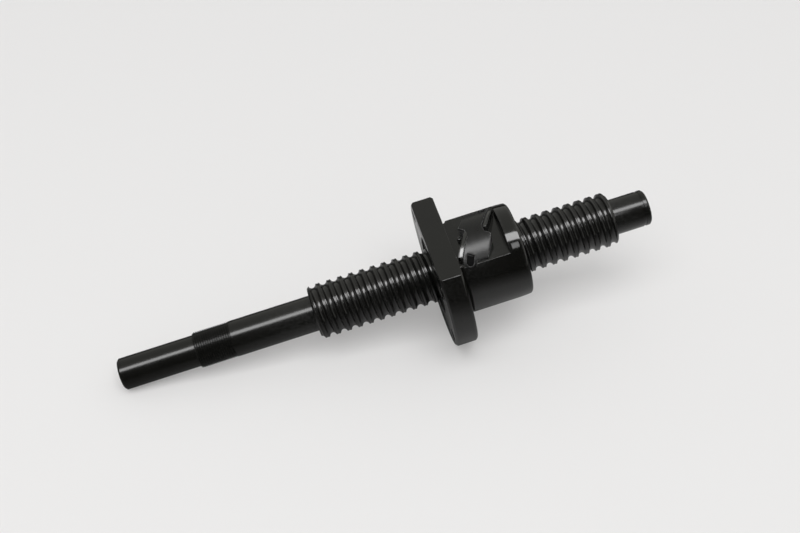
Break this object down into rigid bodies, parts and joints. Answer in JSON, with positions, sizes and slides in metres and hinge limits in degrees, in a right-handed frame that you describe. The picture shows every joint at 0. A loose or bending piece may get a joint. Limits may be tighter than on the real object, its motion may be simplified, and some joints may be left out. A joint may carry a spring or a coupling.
{
  "type": "ball screw",
  "caption": "Rolled ball screw with stepped end journals, a fine lock nut thread and a flanged nut whose return cap sits on a flat.",
  "frame": {"origin": "on the screw's axis, at the shoulder where the bearing seat meets the ball thread", "axes": "+X along the screw from the bearing end to the support end, +Z the outward normal of the nut's two flats at rest, +Y completes a right-handed frame"},
  "size_m": [0.241, 0.066, 0.0555],
  "materials": {
    "blackened_steel": "black oxide, satin",
    "wiper_plastic": "matte",
    "cap_plastic": "satin, finely textured",
    "insert": "matte",
    "clip_steel": "black oxide, satin",
    "ball_steel": "polished"
  },
  "bodies": {
    "screw": {"screw_shaft": "blackened_steel"},
    "wipers": {"wiper_front": "wiper_plastic", "wiper_rear": "wiper_plastic"},
    "nut": {"nut_body": "blackened_steel", "return_cap": "cap_plastic", "window_insert_front": "insert", "window_insert_rear": "insert", "clip_front": "clip_steel", "clip_rear": "clip_steel", "clip_screw": "clip_steel", "balls_turn_1": "ball_steel", "balls_turn_2": "ball_steel", "balls_half_turn": "ball_steel", "balls_return": "ball_steel"}
  },
  "joints": [
    {"name": "nut_travel", "type": "slide", "parent": "screw", "child": "wipers", "axis": [1, 0, 0], "range_m": [-0.05, 0.04]},
    {"name": "nut_turn", "type": "hinge", "parent": "wipers", "child": "nut", "pos_m": [0.0745, 0, 0], "axis": [1, 0, 0], "range_deg": [-3600, 2880]}
  ],
  "couplings": [
    {"joint": "nut_travel", "follows": "nut_turn", "m_per_rad": 0.00079577}
  ]
}
